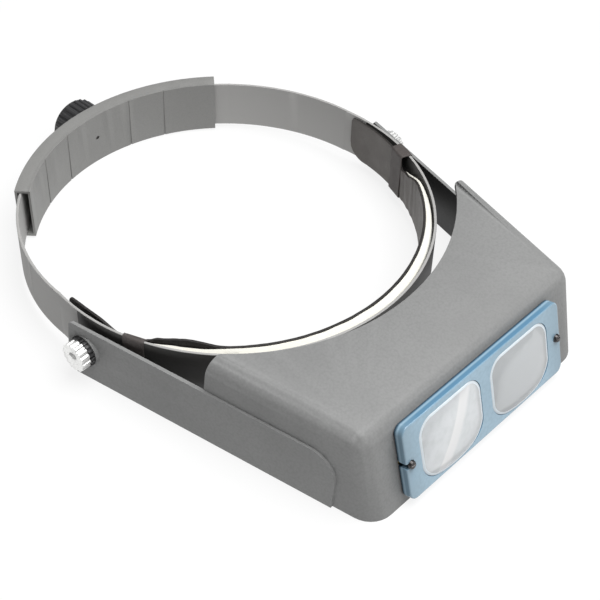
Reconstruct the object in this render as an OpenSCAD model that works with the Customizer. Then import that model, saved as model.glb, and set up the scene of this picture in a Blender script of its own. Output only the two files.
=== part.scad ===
// Headband magnifier: a moulded visor that carries two lenses tilts on a sprung head ring,
// and a knob at the back of the ring sets its size through a pinion and two racks.
// The wearer's left is +X, the back of the head is +Y, and the object stands on z = 0.

/* [Visor shell] */
// Height of the visor's top panel
shell_h = 43.3; // [40:0.5:48]
// Wall thickness of the visor
wall = 2.4; // [2:0.1:3]
// Half width of the shell at its open back edge
back_half = 85.4; // [83:0.1:88]
// Place of the shell's open back edge
back_y = -47.5; // [-52:0.5:-44]
// Place of the foot of the front wall
front_y = -131.1; // [-136:0.5:-127]
// How much each side wall closes in per unit of length towards the front
side_taper = 0.2; // [0.16:0.01:0.24]
// How much the side walls spread downwards per unit of height
side_draft = 0.06; // [0.04:0.01:0.07]
// Radius of the roll between top and sides at the back
roll_back = 7; // [5:0.5:9]
// Radius of the roll at the front corners
roll_front = 9; // [7:0.5:11]
// Radius of the front corners at the foot
corner_r = 12; // [9:0.5:14]
// Gap between the head ring and the curved back edge of the top panel
brow_gap = 6.2; // [5:0.1:9]
// Depth of the ribs under the top panel
rib_d = 3; // [2:0.5:4]

/* [Arms] */
// Height of the arms and of the raised side panels
arm_h = 27.6; // [25:0.2:29]
// Thickness of the arms
arm_t = 1.6; // [1.4:0.1:1.7]
// How far the arms' outer faces stand outside the head ring at the pivots
arm_off = 4.9; // [4.8:0.1:5.8]
// How far the raised side panel stands proud of the shell
panel_proud = 1.3; // [0.8:0.1:1.6]
// Radius of the raised panel's front corner
panel_r = 14; // [10:1:18]
// Front end of the raised panel
panel_y = -111.5; // [-114:0.5:-108]
// Radius of the upper corners at the arms' back ends
arm_top_r = 1.5; // [1:0.5:6]
// Radius of the lower corners at the arms' back ends
arm_end_r = 5; // [3:0.5:8]

/* [Lens plate] */
// Width of the lens plate
plate_w = 104; // [102:0.5:108]
// Height of the lens plate
plate_h = 37.8; // [36.4:0.2:38.4]
// Thickness of the lens plate
plate_t = 5; // [4.5:0.1:6]
// Backward lean of the lens plate and the front wall
plate_tilt = 16.9; // [12:0.1:20]
// Height of the lens plate's centre
plate_z = 20.9; // [20.5:0.1:22.5]
// Corner radius of the lens plate
plate_r = 4; // [2:0.5:6]
// Width of one lens
lens_w = 39.6; // [38:0.2:40.4]
// Height of one lens
lens_h = 31.4; // [29:0.2:32.4]
// Corner radius of a lens
lens_r = 8.5; // [6:0.5:11]
// Radius of the lens's domed face
lens_dome_r = 105; // [90:1:150]
// Half the distance between the lens centres
lens_x = 23.1; // [22.6:0.1:23.6]
// Distance of the screws from the lens plate's ends
screw_in = 2.8; // [2.6:0.1:3.4]
// Radius of the lens plate screws' shanks
screw_r = 1.15; // [1:0.05:1.3]
// Length of the screws under the head
screw_l = 10; // [9:0.5:11.5]

/* [Head ring] */
// Outer radius of the head ring's strip
ring_r = 93.6; // [93:0.1:94.2]
// Reach of the strip in front of the ring's centre
strip_front = 99.8; // [98.5:0.1:100.5]
// Thickness of the strip
strip_t = 1.3; // [1.1:0.1:1.4]
// Height of the strip
strip_h = 24.4; // [22:0.2:24.6]
// Place of the head ring's centre
ring_y = 26; // [25:0.5:27]
// Lean of the ring against the visor
ring_tilt = 2.4; // [0:0.1:3]
// Thickness of the foam cushion at the middle of the brow
foam_t = 4.6; // [4:0.1:5]
// Thickness of the leather
leather_t = 1.4; // [1:0.1:1.6]
// Height of the leather and foam
pad_h = 23.4; // [21:0.2:24.4]
// Half angle of the foam, counted from the brow
foam_half = 66; // [60:1:67]
// Half angle of the leather loops, counted from the brow
loop_at = 71.5; // [70:0.1:73]
// How far the pair of loops is turned round the ring
loop_turn = -0.4; // [-1:0.1:1]
// Width of a leather loop
loop_w = 10; // [9:0.5:11.5]

/* [Pivots] */
// Place of the pivots along the arms
pivot_y = 11; // [10.4:0.2:11.6]
// Height of the pivots
pivot_z = 15.6; // [15:0.1:18]
// Radius of the pivot bolts
bolt_r = 2.5; // [2:0.1:3]
// Radius of the pivot bolts' heads
bolt_head_r = 5.4; // [4.5:0.1:5.8]
// Radius of the toothed washers
washer_r = 7.2; // [6.8:0.1:7.8]
// Thickness of the toothed washers
washer_t = 2.2; // [1.4:0.1:3]
// Number of teeth round a washer
washer_teeth = 22; // [16:1:30]
// Width and depth of a washer's teeth
washer_tooth = 1; // [0.6:0.1:1.2]
// Radius of the round nuts
nut_r = 6.8; // [6.4:0.1:7.4]
// Thickness of the round nuts
nut_t = 4.4; // [4:0.1:6]
// Number of flutes round a nut
nut_flutes = 14; // [12:1:18]

/* [Size adjuster] */
// Half angle of the back sleeve
sleeve_half = 41.5; // [40:0.5:44]
// Thickness of the sleeve's walls
sleeve_wall = 1.2; // [1:0.1:1.4]
// Thickness of the sleeve's liner
liner_t = 1.1; // [0.9:0.1:1.3]
// Clear depth of the channel for the two strap ends
channel = 5; // [4.9:0.1:5.4]
// Depth of the fold lines in the liner
groove_d = 0.3; // [0.2:0.05:0.5]
// How far the sleeve moves in for a small head
travel_in = 6; // [4:0.5:7]
// How far the sleeve moves out for a large head
travel_out = 20; // [16:0.5:21]
// Tooth size of pinion and racks
gear_m = 1.25; // [1.2:0.01:1.3]
// Number of teeth on the pinion
pinion_teeth = 8; // [8:1:8]
// Radius of the knob
knob_r = 13; // [12:0.1:13.2]
// Thickness of the knob
knob_t = 10.5; // [9:0.5:12]
// Number of grips round the knob
knob_grips = 24; // [16:1:32]

/* [Hidden] */
$fn = 96;
// Facet count of hull children
hull_fn = 32;
// Overlap of a cut with what it cuts
e = 1;
// Running clearance of shafts in their holes
fit = 0.06;
// Clearance between seated pieces
seat = 0.05;

// Visor shell
back_run = 18;
foot_t = 0.02;
screw_x = plate_w / 2 - screw_in;
seat_slope = tan(plate_tilt);
roll_front_y = front_y + (shell_h - roll_front) * seat_slope + roll_front / cos(plate_tilt);
corner_y = front_y + corner_r;
brow_r = strip_front + brow_gap;
brow_drop = 16;
notch_half = screw_x - 4.2;
notch_top = plate_h / 2 - 3;
notch_r = 8;
boss_r = 3.9;
boss_l = 7.2;
rib_t = 1.6;
rib_x = [-45, 0, 45];

// Arms
arm_half = ring_r + arm_off;
arm_back_y = pivot_y + washer_r + 1.6;
arm_foot = back_half + panel_proud;
arm_slope = (arm_half - arm_foot) / (pivot_y - back_y);
arm_back_half = arm_half + arm_slope * (arm_back_y + e - pivot_y);
seat_r = washer_r + 0.3;
seat_half = arm_half + 0.2;
seat_t = 2.4;
panel_sink = 2;

// Lens plate
lens_z = 1.2;
lens_lip = 1.2;
lens_rim = 3.2;
lens_top = 7;
lens_gap = 0.1;
hole_r = screw_r + 0.25;
head_r = 2;
head_t = 1.2;
slot_w = 0.7;
slot_d = 0.6;
insert_r = 2.3;
insert_l = 7;
edge_break = 1.2;

// Head ring
strip_in = ring_r - strip_t;
strip_mid = ring_r - strip_t / 2;
travel_mid = (travel_out - travel_in) / 2;
swing = (travel_out + travel_in) / 2;
flex_at = acos(travel_mid / strip_mid);
swing_in = asin(swing / strip_mid) - asin(travel_mid / strip_mid);
swing_out = asin(swing / strip_mid) + asin(travel_mid / strip_mid);
front_mid = strip_front - strip_t / 2;
front_c = (strip_mid * strip_mid - front_mid * front_mid) / (2 * (front_mid + travel_mid));
front_r = front_mid + front_c;
front_from = acos((travel_mid - front_c) / front_r);
pad_side = strip_in - 0.1;
pad_front = strip_front - strip_t - foam_t;
pad_c = (pad_side * pad_side - pad_front * pad_front) / (2 * pad_front);
pad_r = pad_front + pad_c;
leather_in = pad_r - leather_t;
pad_end = 88;
loop_gap = 0.2;
loop_t = 0.6;
loop_half = loop_w / ring_r * 90 / PI;

// Sleeve, radii from the ring's centre outwards
liner_in = strip_in - 2.3;
liner_out = liner_in + liner_t;
sleeve_in = liner_out + channel;
sleeve_out = sleeve_in + sleeve_wall;
strap_t = strip_t - 0.1;
left_mid = liner_out + 0.65 + strap_t / 2;
right_mid = sleeve_in - 0.8 - strap_t / 2;
sleeve_h = strip_h + 2 * sleeve_wall + 0.6;
strap_turn = sleeve_half + swing_in + 1;
bead_r = strap_t / 2 + 0.04;
bead_h = strip_h + 0.1;
bead_gap = 0.07;
ring_z = sleeve_h / 2 * cos(ring_tilt) + sleeve_out * sin(ring_tilt);
grooves = [-26, -13, 12.5, 24.5];
groove_w = 0.8;

// Pinion and racks
pitch_r = gear_m * pinion_teeth / 2;
pitch = PI * gear_m;
rack_mid = (left_mid + right_mid) / 2;
rack_step = pitch / rack_mid * 180 / PI;
tooth_t = 1.22;
tooth_up = 0.95;
tooth_down = 1.3;
tooth_slope = tan(20);
mesh_bias = 0.16;
slot_clear = 0.5;
pinion_half = asin((pitch_r + tooth_up) / rack_mid);
slot_out = swing_out + pinion_half + 0.8;
slot_in = swing_in + pinion_half + 0.8;
tip_at = slot_out + 2.6;
pinion_y0 = liner_out + 0.4;
pinion_y1 = sleeve_in - 0.35;
shaft_r = 2.4;
stub_r = 1;
knob_gap = 0.9;
knob_y0 = sleeve_out + knob_gap;
knob_y1 = knob_y0 + knob_t;
knob_screw_r = 1.3;
knob_head_r = 3.2;

// Pivot stack, from the ring outwards
spring_t = 0.4;
spring_r = 6.4;
collar_r = 6.5;
arm_in = seat_half - seat_t;
collar_x = arm_in - spring_t - 2 * seat;
nut_x = seat_half + washer_t;
nut_cap_r = 3.2;
nut_cap_t = 1.1;
bolt_end = nut_x + nut_t - 0.6;
head_l = 0.9;
bolt_start = front_r - strip_t / 2 - head_l;

function bend_u(r, t) = (r * r - t * t) / (2 * (r - t * cos(flex_at - strap_turn)));

// Frames: the head ring, its back, and the lens plate's seat on the front wall
module on_ring() {
    translate([0, ring_y, ring_z]) rotate([-ring_tilt, 0, 0]) children();
}
module on_back() {
    on_ring() rotate([-90, 0, 0]) children();
}
module on_front() {
    on_ring() translate([0, front_c, 0]) children();
}
module on_plate() {
    translate([0, front_y + plate_z * seat_slope, plate_z])
        rotate([90 - plate_tilt, 0, 0]) children();
}
module on_pivot(side) {
    translate([0, pivot_y, pivot_z]) rotate([0, 90 * side, 0]) children();
}

// Part of a ring between two angles, counted from the back towards the wearer's left
module arc(r_in, r_out, h, from, to) {
    rotate([0, 0, 90 - to]) rotate_extrude(angle = to - from, $fn = 180)
        translate([r_in, -h / 2]) square([r_out - r_in, h]);
}
module rounded(w, h, r) {
    square([w - 2 * r, h], center = true);
    square([w, h - 2 * r], center = true);
    for (x = [-1, 1], y = [-1, 1])
        translate([x * (w / 2 - r), y * (h / 2 - r)]) circle(r);
}

// Visor shell
module shell_form(inset, floor_z) {
    top_back = back_half + side_draft * (pivot_z + roll_back - shell_h);
    top_front = back_half + side_draft * (pivot_z + roll_front - shell_h);
    foot = back_half + side_draft * pivot_z;
    hull() for (side = [-1, 1]) {
        translate([side * (top_back + side_taper * back_run - roll_back), back_y + back_run,
            shell_h - roll_back]) sphere(roll_back - inset, $fn = hull_fn);
        translate([side * (foot + side_taper * back_run - roll_back), back_y + back_run, floor_z])
            cylinder(r = roll_back - inset, h = foot_t, $fn = hull_fn);
        translate([side * (top_front + side_taper * (roll_front_y - back_y) - roll_front),
            roll_front_y, shell_h - roll_front]) sphere(roll_front - inset, $fn = hull_fn);
        translate([side * (foot + side_taper * (corner_y - back_y) - corner_r), corner_y, floor_z])
            cylinder(r = corner_r - inset, h = foot_t, $fn = hull_fn);
    }
}
module arm_plan(side) {
    polygon([[side * arm_back_half, arm_back_y + e], [side * arm_foot, back_y],
        [side * (arm_foot + side_taper * (panel_y - back_y)), panel_y - e],
        [side * (arm_foot + side_taper * (panel_y - back_y) - panel_sink), panel_y - e],
        [side * (arm_foot - arm_t), back_y], [side * (arm_back_half - arm_t), arm_back_y + e]]);
}
module arm_side() {
    difference() {
        translate([panel_y, 0]) square([arm_back_y - panel_y, arm_h]);
        translate([panel_y, arm_h - panel_r]) square(panel_r);
        translate([arm_back_y - arm_top_r, arm_h - arm_top_r]) square(arm_top_r + e);
        translate([arm_back_y - arm_end_r, -e]) square([arm_end_r + e, arm_end_r + e]);
    }
    intersection() {
        translate([panel_y + panel_r, arm_h - panel_r]) circle(panel_r);
        translate([panel_y, arm_h - panel_r]) square(panel_r);
    }
    translate([arm_back_y - arm_top_r, arm_h - arm_top_r]) circle(arm_top_r);
    translate([arm_back_y - arm_end_r, arm_end_r]) circle(arm_end_r);
}
// Each arm carries a round seat, square to the pivot, for the washers on both of its faces
module arm(side) {
    difference() {
        intersection() {
            translate([side * arm_half, 0, pivot_z]) rotate([0, -side * atan(side_draft), 0])
                translate([-side * arm_half, 0, 0]) linear_extrude(3 * arm_h, center = true)
                arm_plan(side);
            rotate([90, 0, 90]) linear_extrude(3 * arm_half, center = true) arm_side();
        }
        on_pivot(side) translate([0, 0, seat_half]) cylinder(r = seat_r, h = 5);
        on_pivot(side) translate([0, 0, arm_in - 5]) cylinder(r = seat_r, h = 5);
    }
    on_pivot(side) translate([0, 0, arm_in]) cylinder(r = seat_r, h = seat_t);
}
module shell_walls() {
    difference() {
        shell_form(0, 0);
        difference() {
            shell_form(wall, -e);
            for (x = rib_x) translate([x - rib_t / 2, front_y, shell_h - wall - rib_d])
                cube([rib_t, back_y - front_y, rib_d + wall]);
            for (side = [-1, 1]) on_plate() translate([side * screw_x, 0, -boss_l])
                cylinder(r = boss_r, h = boss_l + e);
        }
        translate([-arm_half - e, back_y, -e])
            cube([2 * arm_half + 2 * e, back_run + roll_back + 3, shell_h + 2 * e]);
        translate([0, ring_y, shell_h - brow_drop]) cylinder(r = brow_r, h = brow_drop + e, $fn = 180);
    }
}
module window_notch() {
    on_plate() translate([0, 0, -boss_l - 3]) linear_extrude(boss_l + 3 + e) {
        translate([-notch_half, -plate_h]) square([2 * notch_half, plate_h + notch_top - notch_r]);
        translate([-notch_half + notch_r, -plate_h])
            square([2 * (notch_half - notch_r), plate_h + notch_top]);
        for (side = [-1, 1]) translate([side * (notch_half - notch_r), notch_top - notch_r])
            circle(notch_r);
    }
}
module visor_shell() {
    color("dimgray") difference() {
        union() {
            shell_walls();
            arm(1);
            arm(-1);
        }
        window_notch();
        for (side = [-1, 1]) {
            on_plate() translate([side * screw_x, 0, -boss_l - e])
                cylinder(r = insert_r + 0.02, h = boss_l + 2 * e);
            on_pivot(side) translate([0, 0, arm_in - e]) cylinder(r = bolt_r + fit, h = seat_t + 2 * e);
        }
    }
}

// Lens plate with a pocket for each lens, one round hole and one open slot
module lens_plate() {
    color("lightskyblue") on_plate() difference() {
        union() {
            translate([0, 0, seat]) linear_extrude(plate_t - edge_break - seat)
                rounded(plate_w, plate_h, plate_r);
            translate([0, 0, plate_t - edge_break]) linear_extrude(edge_break)
                rounded(plate_w - edge_break, plate_h - edge_break, plate_r - edge_break / 2);
        }
        for (side = [-1, 1]) {
            translate([side * lens_x, 0, lens_z]) linear_extrude(plate_t)
                rounded(lens_w + 2 * lens_gap, lens_h + 2 * lens_gap, lens_r);
            translate([side * lens_x, 0, -e]) linear_extrude(plate_t)
                rounded(lens_w - 2 * lens_lip, lens_h - 2 * lens_lip, lens_r - lens_lip);
            translate([side * screw_x, 0, -e]) cylinder(r = hole_r, h = plate_t + 2 * e);
        }
        translate([-plate_w / 2 - e, -hole_r, -e])
            cube([plate_w / 2 - screw_x + e, 2 * hole_r, plate_t + 2 * e]);
    }
}
module lens(side) {
    color("aliceblue") on_plate() translate([side * lens_x, 0, 0]) intersection() {
        translate([0, 0, lens_z]) linear_extrude(lens_top) rounded(lens_w, lens_h, lens_r);
        translate([0, 0, lens_top - lens_dome_r]) sphere(lens_dome_r);
    }
}
module lens_left() { lens(1); }
module lens_right() { lens(-1); }
module lens_screw(side) {
    color("darkslategray") on_plate() translate([side * screw_x, 0, plate_t]) difference() {
        union() {
            translate([0, 0, seat]) cylinder(r1 = head_r, r2 = head_r - 0.4, h = head_t);
            translate([0, 0, -screw_l]) cylinder(r = screw_r, h = screw_l + seat);
        }
        translate([-head_r - e, -slot_w / 2, head_t + seat - slot_d])
            cube([2 * head_r + 2 * e, slot_w, slot_d + e]);
    }
}
module lens_screw_left() { lens_screw(1); }
module lens_screw_right() { lens_screw(-1); }
module lens_inserts() {
    color("goldenrod") for (side = [-1, 1]) on_plate() translate([side * screw_x, 0, -insert_l])
        difference() {
            cylinder(r = insert_r, h = insert_l);
            translate([0, 0, -e]) cylinder(r = screw_r + fit, h = insert_l + 2 * e);
            for (z = [1.6, 4]) translate([0, 0, z]) difference() {
                cylinder(r = insert_r + e, h = 0.8);
                translate([0, 0, -e]) cylinder(r = insert_r - 0.4, h = 3);
            }
        }
}

// Pivots
module pivot_bolt(side) {
    color("silver") {
        intersection() {
            on_pivot(side) cylinder(r = bolt_head_r, h = ring_r);
            on_front() difference() {
                cylinder(r = front_r - strip_t / 2 - seat, h = 3 * strip_h, center = true, $fn = 180);
                cylinder(r = front_r - strip_t / 2 - head_l, h = 4 * strip_h, center = true, $fn = 180);
            }
        }
        on_pivot(side) translate([0, 0, bolt_start]) cylinder(r = bolt_r, h = bolt_end - bolt_start);
    }
}
module pivot_bolt_left() { pivot_bolt(1); }
module pivot_bolt_right() { pivot_bolt(-1); }
module pivot_collar(side) {
    color("black") difference() {
        on_pivot(side) translate([0, 0, strip_in - 6]) difference() {
            cylinder(r = collar_r, h = collar_x - strip_in + 6);
            translate([0, 0, -e]) cylinder(r = bolt_r + fit, h = ring_r);
        }
        on_front() cylinder(r = front_r + strip_t / 2 + seat, h = 3 * strip_h, center = true, $fn = 180);
    }
}
module pivot_collar_left() { pivot_collar(1); }
module pivot_collar_right() { pivot_collar(-1); }
module spring_washer(side) {
    color("silver") on_pivot(side) translate([0, 0, collar_x + seat]) difference() {
        cylinder(r = spring_r, h = spring_t);
        translate([0, 0, -e]) cylinder(r = bolt_r + fit, h = spring_t + 2 * e);
    }
}
module spring_washer_left() { spring_washer(1); }
module spring_washer_right() { spring_washer(-1); }
module toothed_washer(side) {
    color("black") on_pivot(side) translate([0, 0, seat_half + seat]) difference() {
        union() {
            cylinder(r = washer_r - washer_tooth, h = washer_t - seat);
            for (i = [0 : washer_teeth - 1]) rotate([0, 0, i * 360 / washer_teeth])
                translate([washer_r - 2 * washer_tooth, -washer_tooth / 2, 0])
                cube([2 * washer_tooth, washer_tooth, washer_t - seat]);
        }
        translate([0, 0, -e]) cylinder(r = bolt_r + fit, h = washer_t + 2 * e);
    }
}
module toothed_washer_left() { toothed_washer(1); }
module toothed_washer_right() { toothed_washer(-1); }
module pivot_nut(side) {
    color("silver") on_pivot(side) translate([0, 0, nut_x + seat]) difference() {
        union() {
            cylinder(r = nut_r, h = nut_t);
            translate([0, 0, nut_t]) cylinder(r1 = nut_cap_r, r2 = nut_cap_r - 0.8, h = nut_cap_t);
        }
        for (i = [0 : nut_flutes - 1]) rotate([0, 0, i * 360 / nut_flutes])
            translate([nut_r + 0.5, 0, -e]) cylinder(r = 1.1, h = nut_t + 2 * e, $fn = 24);
        translate([0, 0, -e]) cylinder(r = bolt_r + fit, h = nut_t + e);
    }
}
module pivot_nut_left() { pivot_nut(1); }
module pivot_nut_right() { pivot_nut(-1); }

// Head ring: the strip's front half, and its two ends, which bend at the flex lines
module flex_line(side, r) {
    rotate([0, 0, 90 - side * flex_at]) translate([strip_mid, 0, 0])
        cylinder(r = r, h = strip_h + 2 * e, center = true, $fn = 48);
}
module front_strip() {
    color("gray") difference() {
        on_ring() difference() {
            translate([0, front_c, 0])
                arc(front_r - strip_t / 2, front_r + strip_t / 2, strip_h, front_from, 360 - front_from);
            for (side = [-1, 1]) flex_line(side, strip_t / 2 + fit);
        }
        for (side = [-1, 1]) on_pivot(side) translate([0, 0, strip_in - 8])
            cylinder(r = bolt_r + fit, h = ring_r);
    }
}
module strap_bend(r_mid) {
    u = bend_u(r_mid, strip_mid);
    cx = u * sin(strap_turn);
    cy = u * cos(strap_turn);
    to = atan2(strip_mid * sin(flex_at) - cx, strip_mid * cos(flex_at) - cy);
    translate([cx, cy, 0])
        arc(r_mid - u - strap_t / 2, r_mid - u + strap_t / 2, strip_h, strap_turn + bead_gap, to);
}
// Toothed slot: the teeth point down on the left strap and up on the right one
module rack_slot(r_mid) {
    plain = pitch_r + tooth_up + slot_clear;
    tip = pitch_r - tooth_up;
    root = pitch_r + tooth_down;
    gap_half = (pitch - tooth_t) / 2;
    first = -floor((slot_out - pinion_half) / rack_step);
    last = floor((slot_in - pinion_half) / rack_step);
    rotate([0, 0, 90 - slot_in]) rotate_extrude(angle = slot_in + slot_out, $fn = 180)
        translate([r_mid - strap_t, -plain]) square([2 * strap_t, plain + tip]);
    for (i = [first - 1 : last + 1]) rotate([0, 0, -i * rack_step + mesh_bias / rack_mid * 180 / PI])
        translate([0, r_mid + strap_t, 0]) rotate([90, 0, 0]) linear_extrude(2 * strap_t)
            polygon([[-gap_half - tooth_up * tooth_slope, tip - 0.01],
                [gap_half + tooth_up * tooth_slope, tip - 0.01],
                [gap_half - tooth_down * tooth_slope, root],
                [-gap_half + tooth_down * tooth_slope, root]]);
}
// One bead joins the strap's two arcs, and another rounds its end at the flex line
module strap(r_mid) {
    difference() {
        union() {
            arc(r_mid - strap_t / 2, r_mid + strap_t / 2, strip_h, -tip_at, strap_turn - bead_gap);
            strap_bend(r_mid);
            rotate([0, 0, 90 - strap_turn]) translate([r_mid, 0, 0])
                cylinder(r = bead_r, h = bead_h, center = true, $fn = 48);
            rotate([0, 0, 90 - flex_at]) translate([strip_mid, 0, 0])
                cylinder(r = strip_t / 2, h = bead_h, center = true, $fn = 48);
        }
        rack_slot(r_mid);
    }
}
module strap_left() { color("gray") on_ring() strap(left_mid); }
module strap_right() { color("gray") on_ring() rotate([0, 180, 0]) strap(right_mid); }

// Comfort band: foam cushion, leather facing, and the two loops that hold it to the strip
module pad(r_in, r_out, h, from, to) {
    difference() {
        translate([0, front_c, 0]) arc(front_r - 12, r_out, h, from, to);
        translate([0, pad_c, 0]) cylinder(r = r_in, h = h + 2 * e, center = true, $fn = 180);
    }
}
module comfort_foam() {
    color("ivory") on_ring()
        pad(pad_r + seat, front_r - strip_t / 2 - 0.1, pad_h, 180 - foam_half, 180 + foam_half);
}
module comfort_leather() {
    color("saddlebrown") on_ring() translate([0, pad_c, 0])
        arc(leather_in, pad_r, pad_h, pad_end, 360 - pad_end);
}
module leather_loops() {
    loop_in = leather_in - loop_gap;
    loop_out = front_r + strip_t / 2 + loop_gap;
    color("black") on_ring() for (at = [180 - loop_at + loop_turn, 180 + loop_at + loop_turn]) difference() {
        pad(loop_in - loop_t, loop_out + loop_t, strip_h + 2 * (loop_gap + loop_t),
            at - loop_half, at + loop_half);
        pad(loop_in, loop_out, strip_h + 2 * loop_gap, at - 2 * loop_half, at + 2 * loop_half);
    }
}

// Back sleeve, liner, knob and pinion
module rear_sleeve() {
    color("darkgray") difference() {
        on_ring() difference() {
            arc(liner_out, sleeve_out, sleeve_h, -sleeve_half, sleeve_half);
            arc(liner_out - e, sleeve_in, sleeve_h - 2 * sleeve_wall, -sleeve_half - 2, sleeve_half + 2);
        }
        on_back() cylinder(r = shaft_r + fit, h = 2 * ring_r);
    }
}
module sleeve_liner() {
    color("gray") on_ring() difference() {
        arc(liner_in, liner_out - 0.02, sleeve_h, -sleeve_half, sleeve_half);
        for (at = grooves) rotate([0, 0, -at]) translate([0, liner_in, 0])
            cube([groove_w, 2 * groove_d, sleeve_h + e], center = true);
        rotate([-90, 0, 0]) cylinder(r = stub_r + fit, h = 2 * ring_r);
    }
}
module pinion() {
    half_tip = tooth_t / 2 - tooth_up * tooth_slope;
    half_root = tooth_t / 2 + tooth_down * tooth_slope;
    color("silver") on_back() {
        translate([0, 0, pinion_y0]) linear_extrude(pinion_y1 - pinion_y0) {
            circle(pitch_r - tooth_down);
            for (i = [0 : pinion_teeth - 1]) rotate(i * 360 / pinion_teeth)
                polygon([[-half_root, pitch_r - tooth_down - 0.4], [half_root, pitch_r - tooth_down - 0.4],
                    [half_tip, pitch_r + tooth_up], [-half_tip, pitch_r + tooth_up]]);
        }
        translate([0, 0, liner_in + 0.5]) cylinder(r = stub_r, h = pinion_y0 - liner_in);
        difference() {
            translate([0, 0, pinion_y1 - seat]) cylinder(r = shaft_r, h = knob_y0 + 6 - pinion_y1);
            translate([0, 0, sleeve_out]) cylinder(r = knob_screw_r + fit, h = 20);
        }
    }
}
module knob_washer() {
    color("silver") on_back() translate([0, 0, sleeve_out + seat]) difference() {
        cylinder(r = shaft_r + 4, h = knob_gap - 2 * seat);
        translate([0, 0, -e]) cylinder(r = shaft_r + fit, h = knob_gap + 2 * e);
    }
}
module adjust_knob() {
    color("black") on_back() difference() {
        union() {
            translate([0, 0, knob_y0]) cylinder(r = knob_r - 0.8, h = knob_t);
            for (i = [0 : knob_grips - 1]) rotate([0, 0, (i + 0.5) * 360 / knob_grips])
                translate([knob_r - 1, 0, knob_y0 + 0.8]) cylinder(r = 1, h = knob_t - 1.6, $fn = 24);
        }
        translate([0, 0, knob_y0 - e]) cylinder(r = shaft_r + 0.02, h = e + 6.05);
        translate([0, 0, knob_y0]) cylinder(r = knob_screw_r + 0.2, h = knob_t + e);
        translate([0, 0, knob_y1 - 2.6]) cylinder(r = knob_head_r + 0.4, h = 2.6 + e);
        translate([0, 0, knob_y1 - 0.8]) cylinder(r = knob_r - 4, h = 0.8 + e);
    }
}
module knob_screw() {
    color("silver") on_back() difference() {
        union() {
            translate([0, 0, knob_y1 - 2.6]) cylinder(r = knob_head_r, h = 1.6);
            translate([0, 0, sleeve_out + 1.2]) cylinder(r = knob_screw_r, h = knob_y1 - 2.6 - sleeve_out - 1.2);
        }
        translate([-knob_head_r - e, -0.45, knob_y1 - 1.7]) cube([2 * knob_head_r + 2 * e, 0.9, 2]);
    }
}

visor_shell();
lens_plate();
lens_left();
lens_right();
lens_screw_left();
lens_screw_right();
lens_inserts();
pivot_bolt_left();
pivot_bolt_right();
pivot_collar_left();
pivot_collar_right();
spring_washer_left();
spring_washer_right();
toothed_washer_left();
toothed_washer_right();
pivot_nut_left();
pivot_nut_right();
front_strip();
strap_left();
strap_right();
comfort_leather();
comfort_foam();
leather_loops();
rear_sleeve();
sleeve_liner();
adjust_knob();
knob_washer();
pinion();
knob_screw();
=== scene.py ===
import math

import bpy
from bpy.props import FloatProperty, FloatVectorProperty, PointerProperty
from mathutils import Matrix, Vector, noise


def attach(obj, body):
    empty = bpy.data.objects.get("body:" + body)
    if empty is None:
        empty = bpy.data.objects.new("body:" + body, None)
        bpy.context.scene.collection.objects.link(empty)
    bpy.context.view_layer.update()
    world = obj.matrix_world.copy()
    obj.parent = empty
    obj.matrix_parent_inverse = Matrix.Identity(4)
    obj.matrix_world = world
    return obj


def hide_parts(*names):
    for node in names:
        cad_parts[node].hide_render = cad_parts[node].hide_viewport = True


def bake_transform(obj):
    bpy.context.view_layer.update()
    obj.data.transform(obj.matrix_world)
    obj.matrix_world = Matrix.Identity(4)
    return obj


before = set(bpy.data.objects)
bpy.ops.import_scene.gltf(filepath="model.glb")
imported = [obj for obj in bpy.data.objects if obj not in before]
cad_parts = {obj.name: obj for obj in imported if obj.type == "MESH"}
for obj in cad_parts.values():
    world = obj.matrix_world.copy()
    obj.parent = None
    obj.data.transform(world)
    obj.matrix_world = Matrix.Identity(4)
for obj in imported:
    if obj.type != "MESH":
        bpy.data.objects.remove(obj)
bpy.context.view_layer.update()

bl_info = {
    "name": "Headband magnifier",
    "version": (1, 0, 0),
    "blender": (4, 5, 0),
    "location": "View3D > Sidebar > Magnifier",
    "description": "Dresses the visor, lenses, head ring and size adjuster of a headband magnifier",
    "category": "Object",
}

MM = 0.001

# Head ring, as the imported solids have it. Angles are in degrees from the back, towards the wearer's left
RING_CENTRE = Vector((0, 26, 17.763)) * MM
RING_LEAN = math.radians(-2.4)
STRIP_MID = 93.54 * MM
STRIP_SHIFT = -5.61 * MM
STRIP_T = 1.3 * MM
STRIP_H = 24.4 * MM
STRIP_END = 82.25
PAD_R = 92.215 * MM
PAD_SHIFT = -1.685 * MM
PAD_H = 23.4 * MM
LEATHER_T = 1.2 * MM
FLEX_AT = math.radians(85.68)
FLEX_R = 92.95 * MM
LOOP_ANGLES = (108.1, 251.1)
LOOP_W = 10 * MM
LOOP_T = 0.6 * MM
LOOP_SAG = 1.6 * MM
SQUEEZE = 1.8 * MM
LEATHER_FROM = 88
LEATHER_TO = 273
FOAM_FROM = 114.5
FOAM_TO = 245.5
# Between these angles the strip's outer and inner faces are painted near-black: painted shade from the
# visor's arms and brow
SHADE_FROM = 90
SHADE_TO = 269.7
FOAM_GAP = 0.12 * MM

# Lens plate, in the frame of its seat on the front wall
PLATE_TILT = math.radians(16.9)
PLATE_Z = 20.9
PLATE_CENTRE = Vector((0, -131.1 + PLATE_Z * math.tan(PLATE_TILT), PLATE_Z)) * MM
PLATE_W = 104 * MM
PLATE_H = 37.8 * MM
PLATE_T = 5 * MM
LENS_W = 39.6 * MM
LENS_H = 31.4 * MM
LENS_R = 8.5 * MM
LENS_X = 23.1 * MM
LENS_Z = 1.2 * MM
LENS_TOP = 7 * MM
LENS_DOME = 105 * MM
LENS_RINGS = 16
LENS_BULGE = 0.09
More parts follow.
